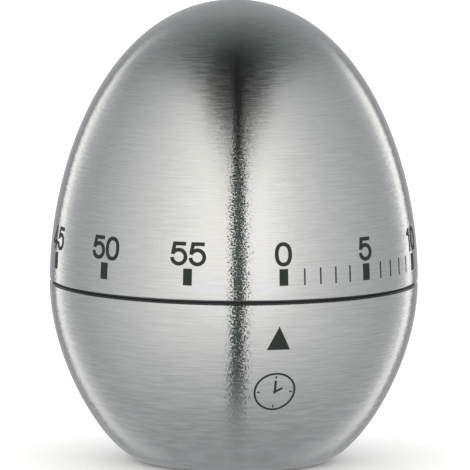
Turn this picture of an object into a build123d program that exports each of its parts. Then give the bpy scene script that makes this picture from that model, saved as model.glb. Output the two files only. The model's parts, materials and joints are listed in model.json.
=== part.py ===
from build123d import *
import os
from math import acos, atan2, cos, degrees, hypot, pi, radians, sin

# Egg-shaped mechanical kitchen timer, millimetres.
# Z is the axis of the egg and of the dial, z = 0 is the table, and the pointer faces -Y.

# ---- outer form ----
egg_radius = 30.0
egg_height = 75.5
foot_lift = 0.3  # the steel shell hangs this far above the table
seam_bottom = 29.4  # top edge of the lower shell
seam_top = 30.0  # bottom edge of the upper shell
dome_rise_handle = 20.2  # Bezier handle up from the seam
dome_crown_handle = 19.9  # Bezier handle outwards from the crown
cup_drop_handle = 13.9  # Bezier handle down from the seam
cup_base_handle = 5.3  # Bezier handle outwards from the base
base_flat_radius = 14.6
shell_wall = 0.6
shell_lip_radius = 0.2
shell_hole_radius = 13.0

# ---- moulded liner in the lower shell ----
moulding_gap = 0.15
liner_wall = 1.3
liner_floor = (2.4, 3.9)  # z of its two faces
liner_floor_hole = 7.2
floor_reach = 16.6  # where the liner's floor meets its wall
bead_radius = 29.5  # the black bead that shows in the seam
seam_split = (29.6, 29.75)  # running gap between the two mouldings
boss_radius, boss_tip_radius, boss_taper = 2.6, 0.6, 3.0
boss_ring = 25.4
boss_angles = (30, 150, 270)
boss_foot = 21.6

# ---- bottom cover, its screws and the rubber foot ----
base_cover_z = (0.5, 2.4)
base_cover_radius = 12.9
base_flange_radius = 14.4
base_screw_ring = 9.0
sound_slot_ring, sound_slot_count = 4.4, 9
sound_slot = (3.8, 1.2)
foot_ring_radii = (10.8, 12.5)
foot_ring_round = 0.25
foot_groove = 0.7
screw_shank, screw_head, screw_play = 0.9, 1.6, 0.1
base_screw_length = 2.9
cross_recess = (1.8, 0.35, 0.5)

# ---- moulded carrier in the upper shell ----
carrier_wall = 1.2
carrier_top = 42.0
web_z = (31.5, 33.0)
web_gap = 0.4  # the web stops this far inside the shell's inner face
web_hole_ring, web_hole_radius = 17.0, 3.6
rib_length, rib_width, rib_middle, rib_top = 26.4, 1.2, 15.0, 38.0
carrier_boss_radius, carrier_boss_top = 4.6, 44.0
arbor_fit = 0.02

# ---- movement frame ----
plate_radius = 22.0
plate_thickness = 0.8
lower_plate_z = 12.0
upper_plate_z = 27.2
ear_width = 4.4
ear_hole_radius = 1.2
plate_window_at = (15.0, 165)  # radius and angle of a large window, in both plates
lower_window_radius, upper_window_radius = 3.2, 2.6
lower_hole_ring, lower_hole_radius = 17.5, 2.2
lower_hole_angles = (-30, -47.5)
upper_window_at = (14.5, -62)
pillar_ring = 20.0
pillar_angles = (90, 205, 320)
pillar_radius, pillar_neck = 1.6, 1.0
pillar_thread = 1.4  # how far the neck stands above the upper plate
nut_radius, nut_height = 1.9, 1.1
end_shake = 0.1
pivot_radius = 0.4
pivot_play = 0.05
movement_screw_length = 7.0
pilot_radius = 0.9
pan_head_radius, pan_head_height, pan_head_round = 1.9, 1.0, 0.4
pan_recess = (2.4, 0.4, 0.5)

# ---- bell ----
bell_rim = (19.8, 11.4)
bell_floor_z = 4.4
bell_wall = 0.8
bell_outer_handles = ((18.4, 4.4), (19.8, 5.8))
bell_inner_handles = ((17.6, 5.2), (19.0, 6.4))
bell_hole = 1.25
bell_thread = 1.0
bell_post_radius = 2.0
bell_post_flange = (3.4, 0.8)  # radius and height
bell_post_socket = (1.7, 1.6)  # radius and depth, clear of the main arbor's lower pivot
bell_post_tapping = 3.0
bell_washer_radius, bell_washer_thickness, bell_washer_seat = 2.9, 0.25, 0.3
bell_screw_head = (2.3, 1.1)
bell_screw_slot = (3.2, 0.5, 0.5)
bell_screw_chamfer = 0.3
bell_screw_reach = 2.8  # length inside the post

# ---- tooth form, in modules or as a share of the pitch ----
pinion_leaves = 8
wheel_root_depth = 1.15
wheel_tooth_share = 0.24
pinion_root_depth = 1.35
pinion_leaf_share = 0.2
wheel_rim_width = 1.0
spoke_width = 1.3
saw_land = 1.2  # half the width of a pointed tooth's tip, in degrees
saw_gap = (0.42, 0.58)  # where the gap's floor starts and ends, as a share of the step

# ---- going train: teeth, modules and where each layer lies ----
great_teeth, second_teeth, third_teeth = 60, 48, 48
great_module, second_module, third_module = 0.4, 0.35, 0.3
great_hub, second_hub, third_hub = 5.2, 2.4, 2.2
great_z, second_z, third_z = (16.6, 17.6), (13.3, 14.0), (15.0, 15.7)
second_pinion_z, third_pinion_z, escape_pinion_z = (16.3, 17.9), (13.1, 14.3), (14.8, 16.0)
train_arbor_radius, thin_arbor_radius = 0.65, 0.5
wheel_seat = (0.5, 0.3)  # how far an arbor's collar stands out, and its height

# ---- main arbor and what turns with it ----
arbor_radius = 2.2
arbor_neck = 2.0
arbor_flat_z = (34.0, 43.6)
arbor_flat = 1.3
arbor_chamfer = 0.3
arbor_shoulder = 3.2
shoulder_gap = 0.05
lower_pivot, lower_pivot_reach = 1.5, 1.0
cam_z = (28.5, 29.3)
cam_radius = 8.0
cam_notch = (4.2, 2.6)
cam_notch_angle = -110.0
cam_hub = (3.6, 0.8)
clip_radius, clip_thickness = 3.5, 0.3
clip_mouth_at, clip_mouth = (3.0, 0), (3.0, 2.2)
clip_gaps = (0.05, 0.25)  # above the upper plate, and above the mainspring
mainspring_z = (19.0, 23.0)
mainspring_start, mainspring_turns, mainspring_gap, mainspring_strip = 2.3, 7, 0.78, 0.3
mainspring_tail = 11.4
mainspring_post_radius, mainspring_post_y = 0.9, 11.0

# ---- ratchet and click ----
ratchet_z = (17.75, 18.4)
ratchet_teeth = 16
ratchet_tip, ratchet_depth, ratchet_lean = 4.3, 0.8, 3.0
click_ring, click_angle = 8.6, 60.0
click_nose_angle = 118.0
click_eye, click_bore = 1.3, 0.65
click_rivet_radius, click_rivet_head = 0.6, (1.1, 0.3)
click_spring_wire, click_spring_foot = 0.22, 0.45
click_spring_path = ((10.2, 150), (8.8, 136), (5.92, 118))  # radius and angle

# ---- escapement ----
escape_teeth = 15
escape_z = (13.3, 13.9)
escape_tip, escape_root, escape_lean = 4.6, 3.4, 2.0
escape_seat_z = (14.0, 14.2)
escape_hub, escape_rim, escape_spokes = 1.5, 2.7, 3
escape_pin_circle, escape_span = 5.0, 84.0
escape_to_lever = 170.0
lever_z = (14.3, 14.9)
lever_eye, lever_arm_width = 1.4, 1.0
fork_reach, fork_tip = 4.6, 0.6  # to the roller's pin, and from there to the end
fork_width, fork_slot = 1.7, (1.2, 0.74)
pin_radius = 0.25
pallet_pin_foot = 13.1
roller_reach, roller_radius, roller_thickness = 2.0, 2.7, 0.6
roller_gap = 0.3  # between the lever and the roller's disc
roller_pin_radius, roller_pin_drop = 0.3, 0.2
lever_to_balance = 195.0
balance_z = (20.0, 21.2)
balance_radii = (4.4, 5.6)
balance_spokes = (9.6, 1.4)
balance_spoke_angle = 40
balance_hub, balance_web, balance_web_lift = 1.6, 0.6, 0.3

# ---- strike train ----
strike_teeth, star_teeth = 60, 12
strike_z = (23.9, 24.9)
strike_hub, strike_hub_rise = 3.1, 1.8
strike_window_hub, strike_spokes = 5.4, 5
strike_spring_z = (25.3, 26.5)
strike_spring_start, strike_spring_turns, strike_spring_gap, strike_spring_strip = 3.3, 4, 0.9, 0.25
strike_spring_tail = 1.0
strike_post_radius, strike_post_y = 0.6, 0.6
slip_washer_radius, slip_washer_thickness, slip_washer_drop = 5.0, 0.25, 0.3
slip_hole_ring, slip_hole_radius = 4.6, 1.0
star_z = (20.0, 20.8)
star_pinion_z = (23.6, 25.2)
star_tip, star_root, star_lean = 4.3, 3.2, 2.0
star_pin_circle, star_span = 4.65, 75.0
star_to_hammer = 200.0
star_pin_drop = 0.2
verge_z = (21.2, 21.9)
verge_eye, verge_arm_width = 1.5, 1.0

# ---- hammer ----
hammer_arbor_radius, hammer_play = 0.7, 0.1
hammer_z = (10.8, 11.4)
hammer_foot = 0.2
hammer_arm_length, hammer_arm_width, hammer_head_ring = 9.0, 1.2, 16.2
hammer_eye, hammer_pad = 1.5, 0.9
hammer_head_radius, hammer_head_height, hammer_head_chamfer = 1.7, 2.0, 0.25
lock_arm_z = (28.5, 29.0)
lock_arm_length, lock_arm_width, lock_arm_angle = 3.8, 0.9, 165.0
lock_arm_eye = 1.3

# ---- release lever ----
release_ring, release_angle = 15.0, -160
release_z = (28.5, 29.1)
release_eye, release_bore, release_arm_width = 1.9, 1.05, 1.1
release_nose_gap = 0.75
release_elbow = (2.8, 2)  # outside the cam, and degrees past its notch
release_tail_gap = 1.6
release_post_radius, release_post_height = 1.0, 1.2
release_post_collar, release_post_head = (1.8, 0.4), (1.6, 0.3)
release_spring_z = 28.8
release_spring_path = ((19.6, 172), (17.6, 183), (16.1, -171.5))
release_spring_wire, release_spring_foot = 0.2, 0.5

standing = (Align.CENTER, Align.CENTER, Align.MIN)
hanging = (Align.CENTER, Align.CENTER, Align.MAX)


def from_polar(radius, angle, centre=(0.0, 0.0)):
    """A point at this radius and angle, in degrees, from a centre."""
    return (centre[0] + radius * cos(radians(angle)), centre[1] + radius * sin(radians(angle)))


def bearing(start, end):
    """Direction from one point to another, in degrees."""
    return degrees(atan2(end[1] - start[1], end[0] - start[0]))


def pitch_radius(teeth, module):
    return teeth * module / 2


def centre_distance(teeth, module):
    return pitch_radius(teeth + pinion_leaves, module)


# ---- arbor positions in plan ----
centre = (0.0, 0.0)
second_at = from_polar(centre_distance(great_teeth, great_module), 0)
third_at = from_polar(centre_distance(second_teeth, second_module), 110, second_at)
escape_at = from_polar(centre_distance(third_teeth, third_module), 150, third_at)
star_at = from_polar(centre_distance(strike_teeth, great_module), -100)
lever_at = from_polar(escape_pin_circle / cos(radians(escape_span / 2)), escape_to_lever, escape_at)
balance_at = from_polar(fork_reach + roller_reach, lever_to_balance, lever_at)
hammer_at = from_polar(star_pin_circle / cos(radians(star_span / 2)), star_to_hammer, star_at)
release_at = from_polar(release_ring, release_angle)


def bezier_radius(start, first, second):
    """Radius of curvature of a cubic Bezier at its start point."""
    ax, ay = first[0] - start[0], first[1] - start[1]
    bx, by = second[0] - first[0], second[1] - first[1]
    return 1.5 * hypot(ax, ay) ** 3 / abs(ax * by - ay * bx)


def inset_bezier(points, inset, inwards_start, inwards_end):
    """Control points of a curve that runs inset inside a cubic Bezier."""
    start, first, second, end = points
    shrink_first = 1 - inset / bezier_radius(start, first, second)
    shrink_second = 1 - inset / bezier_radius(end, second, first)
    new_start = (start[0] + inset * inwards_start[0], start[1] + inset * inwards_start[1])
    new_end = (end[0] + inset * inwards_end[0], end[1] + inset * inwards_end[1])
    new_first = tuple(new_start[i] + shrink_first * (first[i] - start[i]) for i in (0, 1))
    new_second = tuple(new_end[i] + shrink_second * (second[i] - end[i]) for i in (0, 1))
    return new_start, new_first, new_second, new_end


dome_points = (
    (egg_radius, seam_top),
    (egg_radius, seam_top + dome_rise_handle),
    (dome_crown_handle, egg_height),
    (0, egg_height),
)
cup_points = (
    (egg_radius, seam_bottom),
    (egg_radius, seam_bottom - cup_drop_handle),
    (base_flat_radius + cup_base_handle, foot_lift),
    (base_flat_radius, foot_lift),
)


def dome_curve(inset):
    return inset_bezier(dome_points, inset, (-1, 0), (0, -1))


def cup_curve(inset):
    return inset_bezier(cup_points, inset, (-1, 0), (0, 1))


def layer(z):
    """Plane of a layer's lower face, and the layer's thickness."""
    return Plane.XY.offset(z[0]), z[1] - z[0]


def save(piece, name):
    piece.part.label = name
    export_step(piece.part, f"parts/{name}.step")


# ---- shells ----
def make_upper_shell():
    with BuildPart() as shell:
        with BuildSketch(Plane.XZ):
            with BuildLine():
                outer = Bezier(*dome_curve(0))
                inner = Bezier(*dome_curve(shell_wall))
                Line(outer @ 0, inner @ 0)
                Line(outer @ 1, inner @ 1)
            make_face()
        revolve(axis=Axis.Z)
        rim = shell.edges().filter_by(GeomType.CIRCLE).group_by(Axis.Z)[0]
        fillet(rim.sort_by(SortBy.RADIUS)[-1], shell_lip_radius)
    return shell


def make_lower_shell():
    with BuildPart() as shell:
        with BuildSketch(Plane.XZ):
            with BuildLine():
                outer = Bezier(*cup_curve(0))
                inner = Bezier(*cup_curve(shell_wall))
                Line(outer @ 0, inner @ 0)
                hole_edge = (shell_hole_radius, foot_lift)
                Polyline(outer @ 1, hole_edge, (hole_edge[0], foot_lift + shell_wall), inner @ 1)
            make_face()
        revolve(axis=Axis.Z)
        rim = shell.edges().filter_by(GeomType.CIRCLE).group_by(Axis.Z)[-1]
        fillet(rim.sort_by(SortBy.RADIUS)[-1], shell_lip_radius)
    return shell


# ---- mouldings ----
def make_base_liner():
    """Black cup inside the lower shell. Its bead shows in the seam, and its bosses carry the movement."""
    wall_out = shell_wall + moulding_gap
    with BuildPart() as liner:
        with BuildSketch(Plane.XZ):
            with BuildLine():
                outer = Bezier(*cup_curve(wall_out))
                inner = Bezier(*cup_curve(wall_out + liner_wall))
                Line(outer @ 0, inner @ 0)
                Line(outer @ 1, inner @ 1)
            make_face()
        revolve(axis=Axis.Z)
        split(bisect_by=Plane.XY.offset(liner_floor[0]), keep=Keep.TOP)
        bead_width = bead_radius - (egg_radius - wall_out - liner_wall)
        with BuildSketch(Plane.XY.offset(seam_bottom)):
            Circle(bead_radius)
            Circle(bead_radius - bead_width, mode=Mode.SUBTRACT)
        extrude(amount=seam_split[0] - seam_bottom)
        with BuildSketch(Plane.XY.offset(liner_floor[0])):
            Circle(floor_reach)
            Circle(liner_floor_hole, mode=Mode.SUBTRACT)
        extrude(amount=liner_floor[1] - liner_floor[0])
        with Locations(*[(*from_polar(boss_ring, a), boss_foot) for a in boss_angles]):
            Cylinder(boss_radius, upper_plate_z - boss_foot, align=standing)
        with Locations(*[(*from_polar(boss_ring, a), boss_foot) for a in boss_angles]):
            Cone(boss_tip_radius, boss_radius, boss_taper, align=hanging)
        with Locations(*[(*from_polar(boss_ring, a), upper_plate_z) for a in boss_angles]):
            Hole(pilot_radius, depth=movement_screw_length)
        with PolarLocations(base_screw_ring, 3, start_angle=90):
            with Locations((0, 0, liner_floor[1])):
                Hole(pilot_radius, depth=liner_floor[1] - liner_floor[0])
    return liner


def make_base_cover():
    """Black disc that closes the bottom. Its flange is held between the shell and the liner."""
    head, shank = screw_head + screw_play, screw_shank + screw_play
    with BuildPart() as cover:
        with BuildSketch(Plane.XY.offset(base_cover_z[0])):
            Circle(base_cover_radius)
        extrude(amount=base_cover_z[1] - base_cover_z[0])
        with BuildSketch(Plane.XY.offset(foot_lift + shell_wall)):
            Circle(base_flange_radius)
        extrude(amount=base_cover_z[1] - foot_lift - shell_wall)
        with BuildSketch(Plane.XY.offset(base_cover_z[0])):
            Circle(foot_ring_radii[1])
            Circle(foot_ring_radii[0], mode=Mode.SUBTRACT)
        extrude(amount=foot_groove, mode=Mode.SUBTRACT)
        with BuildSketch(Plane.XY.offset(base_cover_z[0])):
            with PolarLocations(sound_slot_ring, sound_slot_count):
                SlotOverall(*sound_slot)
        extrude(amount=base_cover_z[1] - base_cover_z[0], mode=Mode.SUBTRACT)
        with PolarLocations(base_screw_ring, 3, start_angle=90):
            with Locations((0, 0, base_cover_z[0])):
                Cone(head, shank, head - shank + screw_play, align=standing, mode=Mode.SUBTRACT)
                Cylinder(shank, base_cover_z[1] - base_cover_z[0], align=standing, mode=Mode.SUBTRACT)
    return cover


def make_foot_ring():
    with BuildPart() as ring:
        with BuildSketch():
            Circle(foot_ring_radii[1])
            Circle(foot_ring_radii[0], mode=Mode.SUBTRACT)
        extrude(amount=base_cover_z[0] + foot_groove)
        fillet(ring.edges().group_by(Axis.Z)[0], foot_ring_round)
    return ring


def make_base_screws():
    """Three countersunk screws with a cross recess."""
    head_z = base_cover_z[0] + screw_play
    length, width, depth = cross_recess
    with BuildPart() as screws:
        with PolarLocations(base_screw_ring, 3, start_angle=90):
            with Locations((0, 0, head_z)):
                Cone(screw_head, screw_shank, screw_head - screw_shank, align=standing)
                Cylinder(screw_shank, base_screw_length, align=standing)
        with PolarLocations(base_screw_ring, 3, start_angle=90):
            with Locations((0, 0, head_z)):
                Box(length, width, depth, align=standing, mode=Mode.SUBTRACT)
                Box(width, length, depth, align=standing, mode=Mode.SUBTRACT)
    return screws


def make_dial_carrier():
    """Black moulding inside the upper shell that turns it on the main arbor."""
    wall_out = shell_wall + moulding_gap
    with BuildPart() as carrier:
        with BuildSketch(Plane.XZ):
            with BuildLine():
                outer = Bezier(*dome_curve(wall_out))
                inner = Bezier(*dome_curve(wall_out + carrier_wall))
                Line(outer @ 0, inner @ 0)
                Line(outer @ 1, inner @ 1)
            make_face()
        revolve(axis=Axis.Z)
        split(bisect_by=Plane.XY.offset(carrier_top), keep=Keep.BOTTOM)
        with BuildSketch(Plane.XY.offset(seam_split[1])):
            Circle(bead_radius)
            Circle(egg_radius - wall_out - carrier_wall, mode=Mode.SUBTRACT)
        extrude(amount=seam_top - seam_split[1])
        with BuildSketch(Plane.XY.offset(web_z[0])):
            Circle(egg_radius - wall_out - web_gap)
        extrude(amount=web_z[1] - web_z[0])
        with BuildSketch(Plane.XY.offset(web_z[1])):
            with PolarLocations(0, 6):
                with Locations((rib_middle, 0)):
                    Rectangle(rib_length, rib_width)
        extrude(amount=rib_top - web_z[1])
        with BuildSketch(Plane.XY.offset(web_z[0])):
            Circle(carrier_boss_radius)
        extrude(amount=carrier_boss_top - web_z[0])
        with BuildSketch(Plane.XY.offset(web_z[0])):
            Circle(arbor_neck + arbor_fit)
        extrude(amount=arbor_flat_z[0] - web_z[0], mode=Mode.SUBTRACT)
        with BuildSketch(Plane.XY.offset(arbor_flat_z[0])):
            d_section(arbor_fit)
        extrude(amount=carrier_boss_top - arbor_flat_z[0], mode=Mode.SUBTRACT)
        with BuildSketch(Plane.XY.offset(web_z[0])):
            with PolarLocations(web_hole_ring, 6, start_angle=30):
                Circle(web_hole_radius)
        extrude(amount=web_z[1] - web_z[0], mode=Mode.SUBTRACT)
    return carrier


def d_section(play):
    """Round section with one flat, drawn in the current sketch."""
    Circle(arbor_neck + play)
    with Locations((0, arbor_flat + play)):
        Rectangle(3 * arbor_neck, 2 * arbor_neck, align=(Align.CENTER, Align.MIN), mode=Mode.SUBTRACT)


# ---- frame ----
def pivots_in_plates():
    """Arbors whose pivots run in both plates."""
    return [second_at, third_at, escape_at, lever_at, balance_at, star_at]


def make_lower_plate():
    with BuildPart() as plate:
        with BuildSketch(Plane.XY.offset(lower_plate_z)):
            Circle(plate_radius)
            Circle(lower_pivot + pivot_play, mode=Mode.SUBTRACT)
            with Locations(*pivots_in_plates()):
                Circle(pivot_radius + pivot_play, mode=Mode.SUBTRACT)
            with Locations(hammer_at):
                Circle(hammer_arbor_radius + hammer_play, mode=Mode.SUBTRACT)
            with Locations(*[from_polar(lower_hole_ring, a) for a in lower_hole_angles]):
                Circle(lower_hole_radius, mode=Mode.SUBTRACT)
            with Locations(from_polar(*plate_window_at)):
                Circle(lower_window_radius, mode=Mode.SUBTRACT)
        extrude(amount=plate_thickness)
    return plate


def make_upper_plate():
    """Round plate with three ears that screw down on the liner's bosses."""
    with BuildPart() as plate:
        with BuildSketch(Plane.XY.offset(upper_plate_z)):
            Circle(plate_radius)
            with PolarLocations(0, 3, start_angle=boss_angles[0]):
                with Locations((boss_ring / 2, 0)):
                    Rectangle(boss_ring, ear_width)
                with Locations((boss_ring, 0)):
                    Circle(ear_width / 2)
            Circle(arbor_neck + pivot_play, mode=Mode.SUBTRACT)
            with Locations(*pivots_in_plates(), hammer_at):
                Circle(pivot_radius + pivot_play, mode=Mode.SUBTRACT)
            with PolarLocations(boss_ring, 3, start_angle=boss_angles[0]):
                Circle(ear_hole_radius, mode=Mode.SUBTRACT)
            with Locations(*[from_polar(pillar_ring, a) for a in pillar_angles]):
                Circle(pillar_neck, mode=Mode.SUBTRACT)
            with Locations(from_polar(*plate_window_at), from_polar(*upper_window_at)):
                Circle(upper_window_radius, mode=Mode.SUBTRACT)
        extrude(amount=plate_thickness)
    return plate


def make_frame_pillars():
    """Three turned pillars riveted into the lower plate, with threaded necks through the upper plate."""
    floor = lower_plate_z + plate_thickness
    spots = [from_polar(pillar_ring, a) for a in pillar_angles]
    with BuildPart() as pillars:
        with BuildSketch(Plane.XY.offset(floor)):
            with Locations(*spots):
                Circle(pillar_radius)
        extrude(amount=upper_plate_z - floor)
        with BuildSketch(Plane.XY.offset(upper_plate_z)):
            with Locations(*spots):
                Circle(pillar_neck)
        extrude(amount=plate_thickness + pillar_thread)
    return pillars


def make_pillar_nuts():
    top = upper_plate_z + plate_thickness
    with BuildPart() as nuts:
        with BuildSketch(Plane.XY.offset(top)):
            with Locations(*[from_polar(pillar_ring, a) for a in pillar_angles]):
                RegularPolygon(nut_radius, 6, major_radius=False)
                Circle(pillar_neck, mode=Mode.SUBTRACT)
        extrude(amount=nut_height)
    return nuts


def make_movement_screws():
    """Pan-head screws through the upper plate's ears into the liner's bosses."""
    top = upper_plate_z + plate_thickness
    length, width, depth = pan_recess
    with BuildPart() as screws:
        with BuildSketch(Plane.XY.offset(top)):
            with PolarLocations(boss_ring, 3, start_angle=boss_angles[0]):
                Circle(pan_head_radius)
        extrude(amount=pan_head_height)
        fillet(screws.edges().group_by(Axis.Z)[-1], pan_head_round)
        with BuildSketch(Plane.XY.offset(top - movement_screw_length)):
            with PolarLocations(boss_ring, 3, start_angle=boss_angles[0]):
                Circle(pilot_radius)
        extrude(amount=movement_screw_length)
        with BuildSketch(Plane.XY.offset(top + pan_head_height - depth)):
            with PolarLocations(boss_ring, 3, start_angle=boss_angles[0]):
                Rectangle(length, width)
                Rectangle(width, length)
        extrude(amount=depth, mode=Mode.SUBTRACT)
    return screws


# ---- bell ----
def make_bell():
    """Open steel bowl, struck from inside near the rim."""
    rim_radius, rim_z = bell_rim
    with BuildPart() as bell:
        with BuildSketch(Plane.XZ):
            with BuildLine():
                outer = Bezier((bell_hole, bell_floor_z), *bell_outer_handles, bell_rim)
                inner_start = (bell_hole, bell_floor_z + bell_wall)
                inner = Bezier(inner_start, *bell_inner_handles, (rim_radius - bell_wall, rim_z))
                Line(outer @ 0, inner @ 0)
                Line(outer @ 1, inner @ 1)
            make_face()
        revolve(axis=Axis.Z)
    return bell


def make_bell_post():
    seat = bell_floor_z + bell_wall + bell_washer_seat
    flange_radius, flange_height = bell_post_flange
    socket_radius, socket_depth = bell_post_socket
    with BuildPart() as post:
        with BuildSketch(Plane.XY.offset(seat)):
            Circle(bell_post_radius)
        extrude(amount=lower_plate_z - seat)
        with BuildSketch(Plane.XY.offset(lower_plate_z - flange_height)):
            Circle(flange_radius)
        extrude(amount=flange_height)
        with BuildSketch(Plane.XY.offset(lower_plate_z - socket_depth)):
            Circle(socket_radius)
        extrude(amount=socket_depth, mode=Mode.SUBTRACT)
        with BuildSketch(Plane.XY.offset(seat)):
            Circle(bell_thread)
        extrude(amount=bell_post_tapping, mode=Mode.SUBTRACT)
    return post


def make_bell_washer():
    seat = bell_floor_z + bell_wall + bell_washer_seat
    with BuildPart() as washer:
        with BuildSketch(Plane.XY.offset(seat - bell_washer_thickness)):
            Circle(bell_washer_radius)
            Circle(bell_hole, mode=Mode.SUBTRACT)
        extrude(amount=bell_washer_thickness)
    return washer


def make_bell_screw():
    seat = bell_floor_z + bell_wall + bell_washer_seat
    head_radius, head_height = bell_screw_head
    slot_length, slot_width, slot_depth = bell_screw_slot
    with BuildPart() as screw:
        with BuildSketch(Plane.XY.offset(bell_floor_z - head_height)):
            Circle(head_radius)
        extrude(amount=head_height)
        chamfer(screw.edges().group_by(Axis.Z)[0], bell_screw_chamfer)
        with BuildSketch(Plane.XY.offset(bell_floor_z)):
            Circle(bell_thread)
        extrude(amount=seat + bell_screw_reach - bell_floor_z)
        with BuildSketch(Plane.XY.offset(bell_floor_z - head_height)):
            Rectangle(slot_length, slot_width)
        extrude(amount=slot_depth, mode=Mode.SUBTRACT)
    return screw


# ---- toothed parts ----
def epicycloid_inset(base_radius, rolling_radius, height):
    """How far an epicycloid has turned in from its radial start, at this height above the base circle."""
    orbit = base_radius + rolling_radius
    reach = base_radius + height
    turned = acos((orbit**2 + rolling_radius**2 - reach**2) / (2 * orbit * rolling_radius))
    along = rolling_radius * turned / base_radius
    x = orbit * cos(along) - rolling_radius * cos(along + turned)
    y = orbit * sin(along) - rolling_radius * sin(along + turned)
    return atan2(y, x) * reach


def wheel_outline(at, teeth, module, tooth_towards):
    """Wheel with radial flanks and epicycloid tips, one tooth pointing at tooth_towards."""
    pitch = pitch_radius(teeth, module)
    rolling = pitch_radius(pinion_leaves, module) / 2
    root, middle, tip = pitch - wheel_root_depth * module, pitch + 0.5 * module, pitch + module
    flank = wheel_tooth_share * pi * module / pitch
    at_middle = flank - epicycloid_inset(pitch, rolling, 0.5 * module) / middle
    at_tip = flank - epicycloid_inset(pitch, rolling, module) / tip

    def spot(radius, turn, index):
        return from_polar(radius, tooth_towards + 360 * index / teeth + degrees(turn), at)

    with BuildSketch() as outline:
        with BuildLine():
            for i in range(teeth):
                Line(spot(root, -flank, i), spot(pitch, -flank, i))
                ThreePointArc(spot(pitch, -flank, i), spot(middle, -at_middle, i), spot(tip, -at_tip, i))
                Line(spot(tip, -at_tip, i), spot(tip, at_tip, i))
                ThreePointArc(spot(tip, at_tip, i), spot(middle, at_middle, i), spot(pitch, flank, i))
                Line(spot(pitch, flank, i), spot(root, flank, i))
                Line(spot(root, flank, i), spot(root, -flank, i + 1))
        make_face()
    return outline.sketch


def pinion_outline(at, module, gap_towards):
    """Pinion with radial leaves and round tips, one gap pointing at gap_towards."""
    pitch = pitch_radius(pinion_leaves, module)
    root = pitch - pinion_root_depth * module
    flank = pinion_leaf_share * pi * module / pitch
    half_leaf = pitch * sin(flank)
    tip = pitch * cos(flank) + half_leaf

    def spot(radius, turn, index):
        step = 360 / pinion_leaves
        return from_polar(radius, gap_towards + step * (index + 0.5) + degrees(turn), at)

    with BuildSketch() as outline:
        with BuildLine():
            for i in range(pinion_leaves):
                Line(spot(root, -flank, i), spot(pitch, -flank, i))
                ThreePointArc(spot(pitch, -flank, i), spot(tip, 0, i), spot(pitch, flank, i))
                Line(spot(pitch, flank, i), spot(root, flank, i))
                Line(spot(root, flank, i), spot(root, -flank, i + 1))
        make_face()
    return outline.sketch


def saw_outline(at, teeth, tip, root, tooth_towards, lean):
    """Wheel with pointed teeth, each leaning back by lean degrees from its tip to its root."""
    step = 360 / teeth
    corners = []
    for i in range(teeth):
        here = tooth_towards + step * i
        floor = (here + saw_gap[0] * step, here + saw_gap[1] * step - lean)
        corners += [from_polar(tip, here - saw_land, at), from_polar(tip, here + saw_land, at)]
        corners += [from_polar(root, floor[0], at), from_polar(root, floor[1], at)]
    with BuildSketch() as outline:
        with BuildLine():
            Polyline(*corners, close=True)
        make_face()
    return outline.sketch


def cut_windows(at, plane, thickness, hub, rim, spokes):
    """Cuts the windows between a wheel's spokes."""
    with BuildSketch(plane) as windows:
        with Locations(at):
            Circle(rim)
            Circle(hub, mode=Mode.SUBTRACT)
            with PolarLocations(0, spokes, start_angle=20):
                with Locations((rim / 2, 0)):
                    Rectangle(rim + 1, spoke_width, mode=Mode.SUBTRACT)
    extrude(windows.sketch, amount=thickness, mode=Mode.SUBTRACT)


def window_rim(teeth, module):
    """Radius where the windows inside a wheel's rim end."""
    return pitch_radius(teeth, module) - wheel_root_depth * module - wheel_rim_width


def make_wheel(at, z, teeth, module, tooth_towards, bore, hub, spokes):
    plane, thickness = layer(z)
    with BuildPart() as wheel:
        with BuildSketch(plane):
            add(wheel_outline(at, teeth, module, tooth_towards))
            with Locations(at):
                Circle(bore, mode=Mode.SUBTRACT)
        extrude(amount=thickness)
        cut_windows(at, plane, thickness, hub, window_rim(teeth, module), spokes)
    return wheel


def make_arbor(at, pinion_z, module, gap_towards, seat_z):
    """Arbor with its pinion cut in one piece, a seat for its wheel, and a pivot at each end."""
    low = lower_plate_z + plate_thickness + end_shake
    high = upper_plate_z - end_shake
    plane, length = layer(pinion_z)
    with BuildPart() as arbor:
        with BuildSketch(Plane.XY.offset(low)):
            with Locations(at):
                Circle(train_arbor_radius)
        extrude(amount=high - low)
        with BuildSketch(plane):
            add(pinion_outline(at, module, gap_towards))
        extrude(amount=length)
        with BuildSketch(Plane.XY.offset(seat_z[1])):
            with Locations(at):
                Circle(train_arbor_radius + wheel_seat[0])
        extrude(amount=wheel_seat[1])
        add_pivots(at)
    return arbor


def add_pivots(at):
    """Adds the thin pivots that run in the two plates."""
    reach = plate_thickness + end_shake
    for z in (lower_plate_z, upper_plate_z - end_shake):
        with Locations((*at, z)):
            Cylinder(pivot_radius, reach, align=standing)


# ---- main arbor and what turns with the dial ----
def make_main_arbor():
    low = lower_plate_z + plate_thickness + end_shake
    high = upper_plate_z - end_shake
    with BuildPart() as arbor:
        with BuildSketch(Plane.XY.offset(lower_plate_z - lower_pivot_reach)):
            Circle(lower_pivot)
        extrude(amount=low - lower_plate_z + lower_pivot_reach)
        with BuildSketch(Plane.XY.offset(low)):
            Circle(arbor_radius)
        extrude(amount=high - low)
        with BuildSketch(Plane.XY.offset(low)):
            Circle(arbor_shoulder)
        extrude(amount=great_z[0] - shoulder_gap - low)
        with BuildSketch(Plane.XY.offset(high)):
            Circle(arbor_neck)
        extrude(amount=arbor_flat_z[0] - high)
        with BuildSketch(Plane.XY.offset(arbor_flat_z[0])):
            d_section(0)
        extrude(amount=arbor_flat_z[1] - arbor_flat_z[0])
        chamfer(arbor.edges().group_by(Axis.Z)[-1], arbor_chamfer)
    return arbor


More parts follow.
